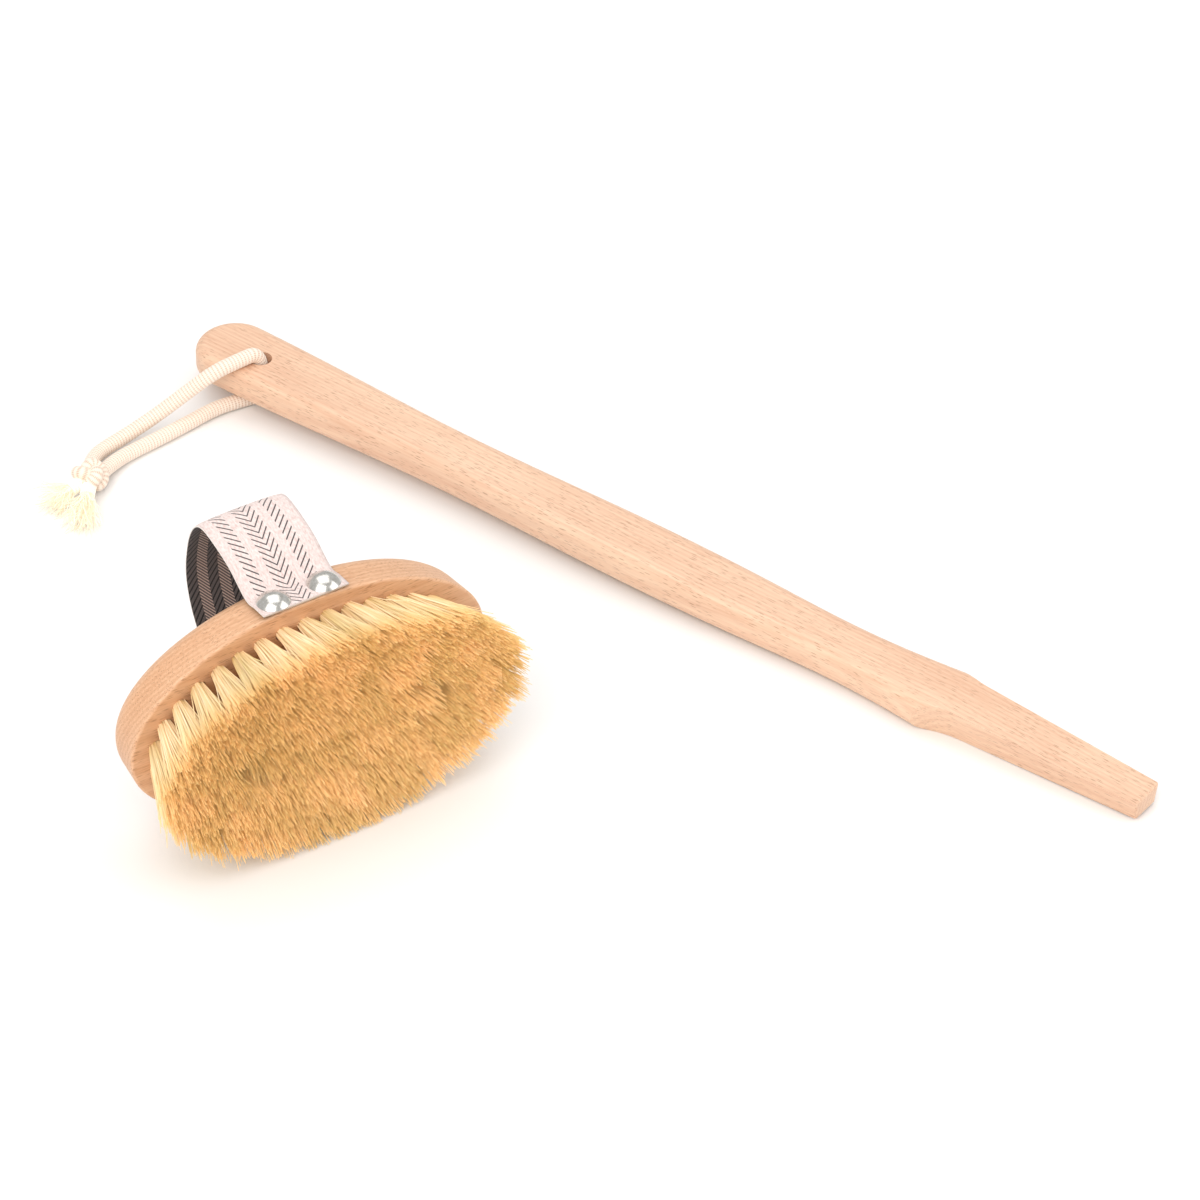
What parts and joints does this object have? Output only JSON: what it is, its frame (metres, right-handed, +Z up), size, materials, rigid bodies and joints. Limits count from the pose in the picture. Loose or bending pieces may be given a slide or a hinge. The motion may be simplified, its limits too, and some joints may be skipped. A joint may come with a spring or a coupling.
{
  "type": "body dry brush",
  "caption": "Oval wooden body brush with fibre bristles and a woven hand strap, beside its detached long handle with a cotton hanging loop.",
  "frame": {"origin": "on the table, under the middle of the head and handle together, without the cord", "axes": "+Z up from the table, +X along the oval head, -Y the way the bristles point"},
  "size_m": [0.273, 0.3602, 0.087],
  "materials": {
    "beech": "satin",
    "plant_fibre": "matte",
    "steel_wire": "satin",
    "cotton_webbing": "matte",
    "nickel": "polished",
    "cotton_cord": "matte"
  },
  "bodies": {
    "head": {"head_block": "beech", "tufts_ring_1": "plant_fibre", "tufts_ring_2": "plant_fibre", "tufts_ring_3": "plant_fibre", "tufts_core": "plant_fibre", "anchors_ring_1": "steel_wire", "anchors_ring_2": "steel_wire", "anchors_ring_3": "steel_wire", "anchors_core": "steel_wire", "strap": "cotton_webbing", "stud_upper_left": "nickel", "stud_upper_right": "nickel", "stud_lower_left": "nickel", "stud_lower_right": "nickel"},
    "handle": {"handle": "beech"},
    "cord_loop": {"cord_upper_strand": "cotton_cord", "cord_lower_strand": "cotton_cord", "cord_knot": "cotton_cord", "cord_end_left": "cotton_cord", "cord_end_right": "cotton_cord"}
  },
  "joints": [
    {"name": "handle_draw", "type": "slide", "parent": "head", "child": "handle", "axis": [-0.3227, 0.9463, 0.019], "range_m": [0, 0.064]},
    {"name": "loop_swing", "type": "hinge", "parent": "handle", "child": "cord_loop", "pos_m": [0.01535, 0.15339, 0.01129], "axis": [0.0061, -0.0179, 0.9998], "range_deg": [-15, 15]}
  ]
}
